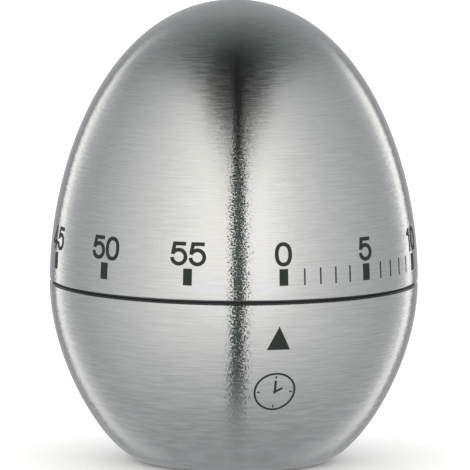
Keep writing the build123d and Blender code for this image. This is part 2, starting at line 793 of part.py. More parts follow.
def make_release_cam():
    """Disc that holds the release lever out until its notch comes round at zero."""
    plane, thickness = layer(cam_z)
    with BuildPart() as cam:
        with BuildSketch(plane):
            Circle(cam_radius)
            with PolarLocations(cam_radius, 1, start_angle=cam_notch_angle):
                Rectangle(*cam_notch, mode=Mode.SUBTRACT)
            Circle(arbor_neck, mode=Mode.SUBTRACT)
        extrude(amount=thickness)
        with BuildSketch(Plane.XY.offset(cam_z[1])):
            Circle(cam_hub[0])
            Circle(arbor_neck, mode=Mode.SUBTRACT)
        extrude(amount=cam_hub[1])
    return cam


def make_arbor_clip(z, opening):
    """Open spring clip around the main arbor."""
    with BuildPart() as clip:
        with BuildSketch(Plane.XY.offset(z)):
            Circle(clip_radius)
            Circle(opening, mode=Mode.SUBTRACT)
            with Locations(clip_mouth_at):
                Rectangle(*clip_mouth, mode=Mode.SUBTRACT)
        extrude(amount=clip_thickness)
    return clip


def make_ratchet_wheel():
    plane, thickness = layer(ratchet_z)
    root, towards = ratchet_tip - ratchet_depth, click_nose_angle - 180 / ratchet_teeth
    with BuildPart() as ratchet:
        with BuildSketch(plane):
            add(saw_outline(centre, ratchet_teeth, ratchet_tip, root, towards, ratchet_lean))
            Circle(arbor_radius, mode=Mode.SUBTRACT)
        extrude(amount=thickness)
    return ratchet


# ---- great wheel with its click ----
def make_great_wheel():
    bore = arbor_radius + pivot_play
    return make_wheel(centre, great_z, great_teeth, great_module, 0, bore, great_hub, 4)


def make_click():
    """Pawl on the great wheel whose nose drops into the ratchet."""
    plane, thickness = layer(ratchet_z)
    pivot = from_polar(click_ring, click_angle)
    outline = [
        from_polar(click_ring - 1.2, click_angle + 1),
        from_polar(ratchet_tip + 0.5, click_nose_angle - 20),
        from_polar(ratchet_tip + 0.25, click_nose_angle - 7),
        from_polar(ratchet_tip - 0.3, click_nose_angle + 2),
        from_polar(ratchet_tip + 1.3, click_nose_angle),
        from_polar(click_ring - 0.6, click_angle + 22),
    ]
    with BuildPart() as click:
        with BuildSketch(plane):
            with Locations(pivot):
                Circle(click_eye)
            with BuildLine():
                Polyline(*outline, close=True)
            make_face()
            with Locations(pivot):
                Circle(click_bore, mode=Mode.SUBTRACT)
        extrude(amount=thickness)
    return click


def make_click_rivet():
    pivot = from_polar(click_ring, click_angle)
    head_z = ratchet_z[1] + shoulder_gap
    head_radius, head_height = click_rivet_head
    with BuildPart() as rivet:
        with BuildSketch(Plane.XY.offset(great_z[1])):
            with Locations(pivot):
                Circle(click_rivet_radius)
        extrude(amount=head_z - great_z[1])
        with BuildSketch(Plane.XY.offset(head_z)):
            with Locations(pivot):
                Circle(head_radius)
        extrude(amount=head_height)
    return rivet


def make_click_spring():
    """Bent wire that presses the click inwards."""
    z = (ratchet_z[0] + ratchet_z[1]) / 2
    path = [from_polar(*spot) for spot in click_spring_path]
    with BuildPart() as spring:
        with BuildLine() as wire:
            Spline(*[(x, y, z) for x, y in path])
        with BuildSketch(Plane(origin=wire.line @ 0, z_dir=wire.line % 0)):
            Circle(click_spring_wire)
        sweep()
        with Locations((*path[0], z)):
            Cylinder(click_spring_foot, 2 * (z - great_z[1]))
    return spring


# ---- springs ----
def make_spiral(z, start_radius, turns, gap, strip, tail):
    """Flat spiral strip of half-turn arcs, each one step larger than the last, with a straight tail."""
    plane, height = layer(z)
    step = gap / 2
    with BuildPart() as spiral:
        with BuildSketch(plane):
            with BuildLine():
                for side in (0, strip):
                    x = start_radius + side
                    for i in range(2 * turns):
                        sign = 1 if i % 2 == 0 else -1
                        radius = start_radius + side + step * (i + 0.5)
                        far = x - sign * 2 * radius
                        ThreePointArc((x, 0), ((x + far) / 2, sign * radius), (far, 0))
                        x = far
                    Line((x, 0), (x, tail))
                Line((start_radius, 0), (start_radius + strip, 0))
                Line((x - strip, tail), (x, tail))
            make_face()
        extrude(amount=height)
    return spiral


def spiral_reach(start_radius, turns, gap, strip):
    """X of the outer face of a spiral's last turn, where its tail leaves."""
    step = gap / 2
    x = start_radius + strip
    for i in range(2 * turns):
        x += (1 if i % 2 else -1) * 2 * (start_radius + strip + step * (i + 0.5))
    return x


def make_spring_post(at, radius, z):
    """Steel post on the upper plate that a spring's outer end bears on."""
    with BuildPart() as post:
        with BuildSketch(Plane.XY.offset(z)):
            with Locations(at):
                Circle(radius)
        extrude(amount=upper_plate_z - z)
    return post


# ---- escapement ----
def make_escape_wheel():
    plane, thickness = layer(escape_z)
    quarter = 90 / escape_teeth
    towards = escape_to_lever + escape_span / 2 - quarter
    with BuildPart() as wheel:
        with BuildSketch(plane):
            add(saw_outline(escape_at, escape_teeth, escape_tip, escape_root, towards, escape_lean))
            with Locations(escape_at):
                Circle(train_arbor_radius, mode=Mode.SUBTRACT)
        extrude(amount=thickness)
        cut_windows(escape_at, plane, thickness, escape_hub, escape_rim, escape_spokes)
    return wheel


def pin_spots(wheel_at, circle, span, towards):
    """Where the two pallet pins stand around their wheel."""
    return [from_polar(circle, towards + side * span / 2, wheel_at) for side in (1, -1)]


def make_pallet_lever():
    """Lever with an arm to each pin and a fork that holds the roller's pin."""
    plane, thickness = layer(lever_z)
    slot_depth, slot_width = fork_slot
    fork_end = fork_reach + fork_tip
    pins = pin_spots(escape_at, escape_pin_circle, escape_span, escape_to_lever)
    with BuildPart() as lever:
        with BuildSketch(plane):
            with Locations(lever_at):
                Circle(lever_eye)
            for pin in pins:
                arm = bearing(lever_at, pin)
                reach = hypot(pin[0] - lever_at[0], pin[1] - lever_at[1])
                with Locations(Location((*lever_at, 0), (0, 0, arm))):
                    with Locations((reach / 2, 0)):
                        SlotCenterToCenter(reach, lever_arm_width)
            with Locations(Location((*lever_at, 0), (0, 0, lever_to_balance))):
                with Locations((fork_end / 2, 0)):
                    Rectangle(fork_end, fork_width)
                with Locations((fork_end, 0)):
                    Rectangle(2 * slot_depth, slot_width, mode=Mode.SUBTRACT)
            with Locations(lever_at):
                Circle(thin_arbor_radius, mode=Mode.SUBTRACT)
        extrude(amount=thickness)
    return lever


def make_pins(spots, radius, z):
    plane, height = layer(z)
    with BuildPart() as pins:
        with BuildSketch(plane):
            with Locations(*spots):
                Circle(radius)
        extrude(amount=height)
    return pins


def make_thin_arbor(at):
    low = lower_plate_z + plate_thickness + end_shake
    high = upper_plate_z - end_shake
    with BuildPart() as arbor:
        with BuildSketch(Plane.XY.offset(low)):
            with Locations(at):
                Circle(thin_arbor_radius)
        extrude(amount=high - low)
        add_pivots(at)
    return arbor


def make_balance_wheel():
    """Heavy-rimmed wheel with two spokes that paces the escapement."""
    plane, thickness = layer(balance_z)
    with BuildPart() as wheel:
        with BuildSketch(plane):
            with Locations(balance_at):
                Circle(balance_radii[1])
                Circle(balance_radii[0], mode=Mode.SUBTRACT)
        extrude(amount=thickness)
        with BuildSketch(plane.offset(balance_web_lift)):
            with Locations(Location((*balance_at, 0), (0, 0, balance_spoke_angle))):
                Rectangle(*balance_spokes)
            with Locations(balance_at):
                Circle(balance_hub)
        extrude(amount=balance_web)
        with BuildSketch(plane.offset(balance_web_lift)):
            with Locations(balance_at):
                Circle(thin_arbor_radius)
        extrude(amount=balance_web, mode=Mode.SUBTRACT)
    return wheel


def make_balance_roller():
    """Disc on the balance arbor whose pin sits in the lever's fork."""
    pin = from_polar(roller_reach, lever_to_balance + 180, balance_at)
    with BuildPart() as roller:
        with BuildSketch(Plane.XY.offset(lever_z[1] + roller_gap)):
            with Locations(balance_at):
                Circle(roller_radius)
                Circle(thin_arbor_radius, mode=Mode.SUBTRACT)
        extrude(amount=roller_thickness)
        with BuildSketch(Plane.XY.offset(lever_z[0] - roller_pin_drop)):
            with Locations(pin):
                Circle(roller_pin_radius)
        extrude(amount=lever_z[1] + roller_gap + roller_pin_drop - lever_z[0])
    return roller


# ---- strike train ----
def make_strike_wheel():
    """Toothed wheel, loose on the main arbor, whose hub takes the strike spring."""
    plane, thickness = layer(strike_z)
    with BuildPart() as wheel:
        with BuildSketch(plane):
            add(wheel_outline(centre, strike_teeth, great_module, bearing(centre, star_at)))
        extrude(amount=thickness)
        with BuildSketch(plane):
            Circle(strike_hub)
        extrude(amount=thickness + strike_hub_rise)
        with BuildSketch(plane):
            Circle(arbor_radius + pivot_play)
        extrude(amount=thickness + strike_hub_rise, mode=Mode.SUBTRACT)
        rim = window_rim(strike_teeth, great_module)
        cut_windows(centre, plane, thickness, strike_window_hub, rim, strike_spokes)
    return wheel


def make_slip_washer():
    """Thin sprung washer that lets the main arbor drag the strike wheel while winding."""
    with BuildPart() as washer:
        with BuildSketch(Plane.XY.offset(strike_z[0] - slip_washer_drop)):
            Circle(slip_washer_radius)
            Circle(arbor_radius + pivot_play, mode=Mode.SUBTRACT)
            with PolarLocations(slip_hole_ring, 3):
                Circle(slip_hole_radius, mode=Mode.SUBTRACT)
        extrude(amount=slip_washer_thickness)
    return washer


def make_star_wheel():
    plane, thickness = layer(star_z)
    quarter = 90 / star_teeth
    towards = star_to_hammer + star_span / 2 - quarter
    with BuildPart() as star:
        with BuildSketch(plane):
            add(saw_outline(star_at, star_teeth, star_tip, star_root, towards, star_lean))
            with Locations(star_at):
                Circle(train_arbor_radius, mode=Mode.SUBTRACT)
        extrude(amount=thickness)
    return star


def make_hammer_arbor():
    """Arbor that hangs through the lower plate and carries the hammer inside the bell."""
    high = upper_plate_z - end_shake
    with BuildPart() as arbor:
        with BuildSketch(Plane.XY.offset(hammer_z[0] - hammer_foot)):
            with Locations(hammer_at):
                Circle(hammer_arbor_radius)
        extrude(amount=high - hammer_z[0] + hammer_foot)
        with BuildSketch(Plane.XY.offset(high)):
            with Locations(hammer_at):
                Circle(pivot_radius)
        extrude(amount=lock_arm_z[1] - high)
    return arbor


def make_hammer_verge():
    """Plate that holds the two pins over the star wheel."""
    plane, thickness = layer(verge_z)
    pins = pin_spots(star_at, star_pin_circle, star_span, star_to_hammer)
    with BuildPart() as verge:
        with BuildSketch(plane):
            with Locations(hammer_at):
                Circle(verge_eye)
            for pin in pins:
                reach = hypot(pin[0] - hammer_at[0], pin[1] - hammer_at[1])
                with Locations(Location((*hammer_at, 0), (0, 0, bearing(hammer_at, pin)))):
                    with Locations((reach / 2, 0)):
                        SlotCenterToCenter(reach, verge_arm_width)
            with Locations(hammer_at):
                Circle(hammer_arbor_radius, mode=Mode.SUBTRACT)
        extrude(amount=thickness)
    return verge


def hammer_head_spot():
    """Where the hammer's head hangs, hammer_head_ring from the axis."""
    ring = hypot(*hammer_at)
    spread = (ring**2 + hammer_arm_length**2 - hammer_head_ring**2) / (2 * ring * hammer_arm_length)
    return from_polar(hammer_arm_length, bearing(hammer_at, centre) + degrees(acos(spread)), hammer_at)


def make_hammer_arm():
    plane, thickness = layer(hammer_z)
    head = hammer_head_spot()
    with BuildPart() as arm:
        with BuildSketch(plane):
            with Locations(hammer_at):
                Circle(hammer_eye)
            with Locations(Location((*hammer_at, 0), (0, 0, bearing(hammer_at, head)))):
                with Locations((hammer_arm_length / 2, 0)):
                    SlotCenterToCenter(hammer_arm_length, hammer_arm_width)
            with Locations(head):
                Circle(hammer_pad)
            with Locations(hammer_at):
                Circle(hammer_arbor_radius, mode=Mode.SUBTRACT)
        extrude(amount=thickness)
    return arm


def make_hammer_head():
    with BuildPart() as head:
        with BuildSketch(Plane.XY.offset(hammer_z[0] - hammer_head_height)):
            with Locations(hammer_head_spot()):
                Circle(hammer_head_radius)
        extrude(amount=hammer_head_height)
        chamfer(head.edges().filter_by(GeomType.CIRCLE), hammer_head_chamfer)
    return head


def make_lock_arm():
    """Finger on top of the hammer arbor that the release lever's tail stands beside."""
    plane, thickness = layer(lock_arm_z)
    with BuildPart() as arm:
        with BuildSketch(plane):
            with Locations(hammer_at):
                Circle(lock_arm_eye)
            with Locations(Location((*hammer_at, 0), (0, 0, lock_arm_angle))):
                with Locations((lock_arm_length / 2, 0)):
                    SlotCenterToCenter(lock_arm_length, lock_arm_width)
            with Locations(hammer_at):
                Circle(pivot_radius, mode=Mode.SUBTRACT)
        extrude(amount=thickness)
    return arm


# ---- release lever ----
def make_release_lever():
    """Lever on the upper plate. Its nose rides on the cam and its tail stands by the hammer's lock arm."""
    plane, thickness = layer(release_z)
    nose = from_polar(cam_radius + release_nose_gap, cam_notch_angle)
    elbow = from_polar(cam_radius + release_elbow[0], cam_notch_angle + release_elbow[1])
    finger = from_polar(lock_arm_length, lock_arm_angle, hammer_at)
    tail = from_polar(release_tail_gap, lock_arm_angle - 90, finger)
    with BuildPart() as lever:
        with BuildSketch(plane):
            with Locations(release_at):
                Circle(release_eye)
            for start, end in ((release_at, elbow), (elbow, nose), (release_at, tail)):
                reach = hypot(end[0] - start[0], end[1] - start[1])
                with Locations(Location((*start, 0), (0, 0, bearing(start, end)))):
                    with Locations((reach / 2, 0)):
                        SlotCenterToCenter(reach, release_arm_width)
            with Locations(release_at):
                Circle(release_bore, mode=Mode.SUBTRACT)
        extrude(amount=thickness)
    return lever


def make_release_post():
    """Shouldered post that the release lever turns on."""
    top = upper_plate_z + plate_thickness
    collar_radius, collar_height = release_post_collar
    head_radius, head_height = release_post_head
    with BuildPart() as post:
        with BuildSketch(Plane.XY.offset(top)):
            with Locations(release_at):
                Circle(release_post_radius)
        extrude(amount=release_post_height)
        with BuildSketch(Plane.XY.offset(top)):
            with Locations(release_at):
                Circle(collar_radius)
        extrude(amount=collar_height)
        with BuildSketch(Plane.XY.offset(top + release_post_height)):
            with Locations(release_at):
                Circle(head_radius)
        extrude(amount=head_height)
    return post


def make_release_spring():
    """Wire that turns the release lever's nose towards the cam."""
    z = release_spring_z
    path = [from_polar(*spot) for spot in release_spring_path]
    with BuildPart() as spring:
        with BuildLine() as wire:
            Spline(*[(x, y, z) for x, y in path])
        with BuildSketch(Plane(origin=wire.line @ 0, z_dir=wire.line % 0)):
            Circle(release_spring_wire)
        sweep()
        with Locations((*path[0], z)):
            Cylinder(release_spring_foot, 2 * (z - upper_plate_z - plate_thickness))
    return spring


def main():
    os.makedirs("parts", exist_ok=True)
    save(make_upper_shell(), "upper_shell")
    save(make_lower_shell(), "lower_shell")
    save(make_base_liner(), "base_liner")
    save(make_base_cover(), "base_cover")
    save(make_foot_ring(), "foot_ring")
    save(make_base_screws(), "base_screws")
    save(make_dial_carrier(), "dial_carrier")

    save(make_lower_plate(), "lower_plate")
    save(make_upper_plate(), "upper_plate")
    save(make_frame_pillars(), "frame_pillars")
    save(make_pillar_nuts(), "pillar_nuts")
    save(make_movement_screws(), "movement_screws")

    save(make_bell(), "bell")
    save(make_bell_post(), "bell_post")
    save(make_bell_washer(), "bell_washer")
    save(make_bell_screw(), "bell_screw")

    save(make_main_arbor(), "main_arbor")
    save(make_release_cam(), "release_cam")
    save(make_arbor_clip(upper_plate_z + plate_thickness + clip_gaps[0], arbor_neck), "upper_arbor_clip")
    save(make_arbor_clip(mainspring_z[1] + clip_gaps[1], arbor_radius), "lower_arbor_clip")
    save(make_ratchet_wheel(), "ratchet_wheel")

    save(make_great_wheel(), "great_wheel")
    save(make_click(), "click")
    save(make_click_rivet(), "click_rivet")
    save(make_click_spring(), "click_spring")

    spring = (mainspring_start, mainspring_turns, mainspring_gap, mainspring_strip)
    save(make_spiral(mainspring_z, *spring, mainspring_tail), "mainspring")
    post_at = (spiral_reach(*spring) + mainspring_post_radius, mainspring_post_y)
    save(make_spring_post(post_at, mainspring_post_radius, mainspring_z[0]), "mainspring_post")
    spring = (strike_spring_start, strike_spring_turns, strike_spring_gap, strike_spring_strip)
    save(make_spiral(strike_spring_z, *spring, strike_spring_tail), "strike_spring")
    post_at = (spiral_reach(*spring) + strike_post_radius, strike_post_y)
    save(make_spring_post(post_at, strike_post_radius, strike_spring_z[0]), "strike_spring_post")

    towards = bearing(second_at, centre)
    save(make_arbor(second_at, second_pinion_z, great_module, towards, second_z), "second_arbor")
    towards = bearing(second_at, third_at)
    wheel = (second_teeth, second_module, towards, train_arbor_radius, second_hub, 4)
    save(make_wheel(second_at, second_z, *wheel), "second_wheel")
    towards = bearing(third_at, second_at)
    save(make_arbor(third_at, third_pinion_z, second_module, towards, third_z), "third_arbor")
    towards = bearing(third_at, escape_at)
    wheel = (third_teeth, third_module, towards, train_arbor_radius, third_hub, 4)
    save(make_wheel(third_at, third_z, *wheel), "third_wheel")
    towards = bearing(escape_at, third_at)
    save(make_arbor(escape_at, escape_pinion_z, third_module, towards, escape_seat_z), "escape_arbor")
    save(make_escape_wheel(), "escape_wheel")

    save(make_thin_arbor(lever_at), "pallet_arbor")
    save(make_pallet_lever(), "pallet_lever")
    escape_pins = pin_spots(escape_at, escape_pin_circle, escape_span, escape_to_lever)
    save(make_pins(escape_pins, pin_radius, (pallet_pin_foot, lever_z[0])), "pallet_pins")
    save(make_thin_arbor(balance_at), "balance_arbor")
    save(make_balance_wheel(), "balance_wheel")
    save(make_balance_roller(), "balance_roller")

    save(make_strike_wheel(), "strike_wheel")
    save(make_slip_washer(), "slip_washer")
    towards = bearing(star_at, centre)
    save(make_arbor(star_at, star_pinion_z, great_module, towards, star_z), "star_arbor")
    save(make_star_wheel(), "star_wheel")
    save(make_hammer_arbor(), "hammer_arbor")
    save(make_hammer_verge(), "hammer_verge")
    star_pins = pin_spots(star_at, star_pin_circle, star_span, star_to_hammer)
    save(make_pins(star_pins, pin_radius, (star_z[0] - star_pin_drop, verge_z[0])), "verge_pins")
    save(make_hammer_arm(), "hammer_arm")
    save(make_hammer_head(), "hammer_head")
    save(make_lock_arm(), "lock_arm")

    save(make_release_lever(), "release_lever")
    save(make_release_post(), "release_post")
    save(make_release_spring(), "release_spring")


main()
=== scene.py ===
# Egg-shaped clockwork kitchen timer: finishes, printed scale, light and camera.
import json
import math

import bmesh
import bpy
import numpy as np
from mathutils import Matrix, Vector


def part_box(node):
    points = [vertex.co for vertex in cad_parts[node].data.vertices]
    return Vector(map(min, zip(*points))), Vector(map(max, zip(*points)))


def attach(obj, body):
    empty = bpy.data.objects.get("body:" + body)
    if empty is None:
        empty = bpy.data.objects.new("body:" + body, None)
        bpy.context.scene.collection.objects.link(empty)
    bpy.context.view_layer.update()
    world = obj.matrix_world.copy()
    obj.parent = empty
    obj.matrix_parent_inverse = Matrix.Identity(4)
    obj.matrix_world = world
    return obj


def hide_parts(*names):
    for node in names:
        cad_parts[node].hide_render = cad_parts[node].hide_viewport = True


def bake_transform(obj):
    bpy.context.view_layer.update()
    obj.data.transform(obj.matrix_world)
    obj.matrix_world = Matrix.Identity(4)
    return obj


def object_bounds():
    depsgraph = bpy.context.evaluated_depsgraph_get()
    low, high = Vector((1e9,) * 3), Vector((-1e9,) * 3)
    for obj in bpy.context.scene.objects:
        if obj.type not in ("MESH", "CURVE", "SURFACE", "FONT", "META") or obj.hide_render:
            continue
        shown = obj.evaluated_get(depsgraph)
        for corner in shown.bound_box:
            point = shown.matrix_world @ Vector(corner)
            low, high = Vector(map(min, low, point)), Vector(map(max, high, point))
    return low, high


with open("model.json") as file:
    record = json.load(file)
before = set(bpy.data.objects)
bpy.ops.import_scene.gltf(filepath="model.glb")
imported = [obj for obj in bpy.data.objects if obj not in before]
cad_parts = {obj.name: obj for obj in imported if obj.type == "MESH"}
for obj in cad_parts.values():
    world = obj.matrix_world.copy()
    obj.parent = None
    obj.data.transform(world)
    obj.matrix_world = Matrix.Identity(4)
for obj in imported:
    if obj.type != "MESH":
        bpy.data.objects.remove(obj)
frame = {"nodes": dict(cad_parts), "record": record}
cadBounds = [list(corner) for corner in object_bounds()]
nodes = frame["nodes"]
mm = 0.001
print("frame loaded:", len(nodes), "nodes")


# ---- small helpers ----
def linear(hexColour):
    # sRGB hex to linear red, green, blue, alpha
    channels = [int(hexColour[i:i + 2], 16) / 255 for i in (1, 3, 5)]
    straight = [c / 12.92 if c <= 0.04045 else ((c + 0.055) / 1.055) ** 2.4 for c in channels]
    return (*straight, 1.0)


def addNode(tree, kind, settings=None, links=None):
    # settings are the node's own properties, and links fill its inputs, each with a value, a socket
    # or a whole node
    node = tree.nodes.new("ShaderNode" + kind)
    for name, value in (settings or {}).items():
        setattr(node, name, value)
    for name, value in (links or {}).items():
        if isinstance(value, bpy.types.Node):
            value = value.outputs[0]
        if isinstance(value, bpy.types.NodeSocket):
            tree.links.new(value, node.inputs[name])
        else:
            node.inputs[name].default_value = value
    return node


def setStops(rampNode, stops):
    # stops are (position, grey level or colour)
    elements = rampNode.color_ramp.elements
    while len(elements) > 1:
        elements.remove(elements[-1])
    for i, (position, level) in enumerate(stops):
        element = elements[0] if i == 0 else elements.new(position)
        element.position = position
        element.color = level if isinstance(level, tuple) else (level, level, level, 1.0)


def startMaterial(name, constants):
    # constants are set on the shader's own sockets
    material = bpy.data.materials.new(name)
    material.use_nodes = True
    tree = material.node_tree
    tree.nodes.clear()
    shader = addNode(tree, "BsdfPrincipled", links=constants)
    addNode(tree, "OutputMaterial", links={"Surface": shader})
    return material, tree, shader


noiseLow, noiseHigh = 0.3, 0.7  # the range that nearly all of a noise pattern's values fall in


def vary(tree, shader, pattern, look, relief=0.0):
    # One pattern carries the colour from dark to light, the roughness up and down by its spread,
    # and a relief in mm.
    shades = addNode(tree, "ValToRGB", links={"Fac": pattern})
    setStops(shades, [(noiseLow, linear(look["dark"])), (noiseHigh, linear(look["light"]))])
    gloss = addNode(tree, "MapRange", links={
        "Value": pattern, "From Min": noiseLow, "From Max": noiseHigh,
        "To Min": look["roughness"] - look["spread"], "To Max": look["roughness"] + look["spread"]})
    tree.links.new(shades.outputs[0], shader.inputs["Base Color"])
    tree.links.new(gloss.outputs[0], shader.inputs["Roughness"])
    if relief:
        dents = addNode(tree, "Bump", links={"Height": pattern, "Distance": relief * mm})
        tree.links.new(dents.outputs[0], shader.inputs["Normal"])


# ---- shells: the outer profile of the two steel halves ----
shellForm = {
    "domeRise": 20.2,  # mm, handle of the dome's curve above the seam
    "domeCrown": 19.9,  # mm, handle outwards from the crown
    "cupDrop": 13.9,  # mm, handle of the cup's curve below the seam
    "cupBase": 5.3,  # mm, handle outwards from the base
    "baseFlat": 14.6,  # mm, radius where the curve meets the flat base
}
domeLow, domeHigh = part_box("upper_shell")
cupLow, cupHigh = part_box("lower_shell")
domeSeam, crown = domeLow.z / mm, domeHigh.z / mm
cupSeam, baseHeight = cupHigh.z / mm, cupLow.z / mm
widest = round(domeHigh.x / mm, 2)


def bezierCurve(points, count=600):
    # cubic Bezier through four points, as rows of radius and height in mm
    t = np.linspace(0, 1, count)[:, None]
    a, b, c, d = (np.array(p, float) for p in points)
    return (1 - t) ** 3 * a + 3 * (1 - t) ** 2 * t * b + 3 * (1 - t) * t ** 2 * c + t ** 3 * d


def shellProfiles():
    dome = bezierCurve([
        (widest, domeSeam),
        (widest, domeSeam + shellForm["domeRise"]),
        (shellForm["domeCrown"], crown),
        (0, crown),
    ])
    cup = bezierCurve([
        (widest, cupSeam),
        (widest, cupSeam - shellForm["cupDrop"]),
        (shellForm["baseFlat"] + shellForm["cupBase"], baseHeight),
        (shellForm["baseFlat"], baseHeight),
    ])
    return {"dome": dome, "cup": cup}


profiles = shellProfiles()


def placeOnShell(shell, facing, height):
    # Returns a function that wraps a flat print round a shell. Across the print becomes an angle round
    # the axis, at the radius of the print's middle, and up becomes length along the profile.
    curve = profiles[shell]
    steps = np.hypot(*np.diff(curve, axis=0).T)
    along = np.concatenate([[0], np.cumsum(steps)])
    up = 1 if shell == "dome" else -1
    slope = np.gradient(curve, axis=0)
    slope /= np.hypot(slope[:, 0], slope[:, 1])[:, None]
    outward = np.stack([up * slope[:, 1], -up * slope[:, 0]], axis=1)
    middleRadius = np.interp(height, along, curve[:, 0])

    def place(x, y, lift):
        s = height + up * y
        radius = np.interp(s, along, curve[:, 0]) + lift * np.interp(s, along, outward[:, 0])
        z = np.interp(s, along, curve[:, 1]) + lift * np.interp(s, along, outward[:, 1])
        angle = math.radians(facing) + x / middleRadius
        return np.stack([radius * np.sin(angle), -radius * np.cos(angle), z], axis=-1) * mm

    return place


# ---- print: thin raised ink on the shells ----
ink = {
    "lift": 0.03,  # mm, how far the dried ink stands up
    "sink": 0.03,  # mm, how far its hidden back lies inside the steel
    "zeroFacing": 15.6,  # degrees round from the front to the zero mark
    "pointerFacing": 14.4,
    "degreesPerMinute": 6,
    "markWidth": 1.46,
    "markHeight": 2.7,
    "markFoot": 2.4,  # mm above the seam edge
    "tickWidth": 0.24,
    "tickMinutes": 10,  # single minutes are marked up to here
    "numeralGap": 0.46,
    "numeralSpacing": 0.24,
    "pointerBase": 3.9,
    "pointerHeight": 3.9,
    "pointerMiddle": 5.55,  # mm below the seam edge
}


def inkSolid(x, y, place, closed=False):
    # A closed thin solid from a grid of flat points: its face stands up from the shell, its back lies
    # inside the steel, and walls join them round the rim.
    rows, columns = x.shape
    face = place(x, y, ink["lift"]).reshape(-1, 3)
    back = place(x, y, -ink["sink"]).reshape(-1, 3)
    index = np.arange(rows * columns).reshape(rows, columns)
    if closed:
        index = np.vstack([index, index[:1]])
    a, b = index[:-1, :-1].ravel(), index[:-1, 1:].ravel()
    c, d = index[1:, 1:].ravel(), index[1:, :-1].ravel()
    top = np.stack([a, b, c, d], axis=1)
    below = len(face)
    quads = [top, top[:, ::-1] + below]
    rims = [(index[:-1, 0], index[1:, 0], 1), (index[:-1, -1], index[1:, -1], -1)]
    if not closed:
        rims += [(index[0, :-1], index[0, 1:], -1), (index[-1, :-1], index[-1, 1:], 1)]
    for start, end, turn in rims:
        wall = np.stack([start, end, end + below, start + below], axis=1)
        quads.append(wall if turn > 0 else wall[:, ::-1])
    return np.vstack([face, back]), np.vstack(quads)


def buildMesh(name, solids):
    # joins several (points, faces) solids into one object
    points, faces, offset = [], [], 0
    for corners, quads in solids:
        points.append(corners)
        faces.append(quads + offset)
        offset += len(corners)
    mesh = bpy.data.meshes.new(name)
    mesh.from_pydata(np.vstack(points), [], np.vstack(faces).tolist())
    mesh.update()
    piece = bpy.data.objects.new(name, mesh)
    bpy.context.scene.collection.objects.link(piece)
    recalcOutward(mesh)
    return piece


def recalcOutward(mesh):
    shape = bmesh.new()
    shape.from_mesh(mesh)
    bmesh.ops.recalc_face_normals(shape, faces=shape.faces)
    shape.to_mesh(mesh)
    shape.free()


def arc(centreX, centreY, radiusX, radiusY, start, end, count=40):
    # points on an ellipse from start to end, in degrees
    turn = np.radians(np.linspace(start, end, count))
    return np.stack([centreX + radiusX * np.cos(turn), centreY + radiusY * np.sin(turn)], axis=1)


def line(*corners):
    return np.array(corners, float)


def roundedRing(centreX, centreY, halfWidth, halfHeight, power, count=72):
    # superellipse: |x/a|^power + |y/b|^power = 1
    turn = np.linspace(0, 2 * math.pi, count, endpoint=False)
    bend = lambda v: np.sign(v) * np.abs(v) ** (2 / power)
    x, y = centreX + halfWidth * bend(np.cos(turn)), centreY + halfHeight * bend(np.sin(turn))
    return np.stack([x, y], axis=1)


def strokeGrid(path, width, closed=False):
    # A stroke of constant width carried along a path: each point moves along the mitre of its two sides.
    if closed:
        before, after = path - np.roll(path, 1, axis=0), np.roll(path, -1, axis=0) - path
    else:
        sides = np.diff(path, axis=0)
        before, after = np.vstack([sides[:1], sides]), np.vstack([sides, sides[-1:]])
    before = before / np.hypot(before[:, 0], before[:, 1])[:, None]
    after = after / np.hypot(after[:, 0], after[:, 1])[:, None]
    mitre = np.stack([-(before + after)[:, 1], (before + after)[:, 0]], axis=1)
    mitre /= (1 + np.sum(before * after, axis=1))[:, None]
    across = np.linspace(-0.5, 0.5, 4)[None, :] * width
    return path[:, :1] + mitre[:, :1] * across, path[:, 1:] + mitre[:, 1:] * across


numeralForm = {
    "stroke": 0.62,
    # each numeral: its width, then its strokes as (path, closed)
    "0": (2.8, [(roundedRing(1.4, 1.9, 1.12, 1.63, 2.35), True)]),
    "1": (2.1, [
        (line((1.55, 0), (1.55, 3.8)), False),
        (line((0.45, 2.85), (1.0, 3.0), (1.42, 3.55)), False)]),
    "2": (2.75, [(np.vstack([
        arc(1.37, 2.66, 1.07, 0.87, 172, -38, 36), line((0.42, 0.29), (2.68, 0.29))]), False)]),
    "3": (2.75, [
        (arc(1.36, 2.78, 0.86, 0.74, 168, -90, 36), False),
        (arc(1.36, 1.16, 1.06, 0.88, 90, -168, 36), False)]),
    "4": (2.9, [
        (line((1.93, 0), (1.93, 3.8)), False),
        (line((1.85, 3.55), (0.3, 1.2), (0.3, 1.1), (2.85, 1.1)), False)]),
    "5": (2.86, [
        (line((2.6, 3.52), (0.68, 3.52), (0.38, 1.8)), False),
        (arc(1.43, 1.41, 1.14, 1.13, 152, -175, 44), False)]),
}


def numeralSolids(text, place):
    widths = [numeralForm[c][0] for c in text]
    left = -(sum(widths) + ink["numeralSpacing"] * (len(text) - 1)) / 2
    solids = []
    for character, width in zip(text, widths):
        for path, closed in numeralForm[character][1]:
            x, y = strokeGrid(path, numeralForm["stroke"], closed)
            solids.append(inkSolid(x + left, y, place, closed))
        left += width + ink["numeralSpacing"]
    return solids


def blockSolid(width, height, place):
    # upright bar, its foot at zero
    x, y = np.meshgrid(np.linspace(-width / 2, width / 2, 6), np.linspace(0, height, 8))
    return inkSolid(x, y, place)


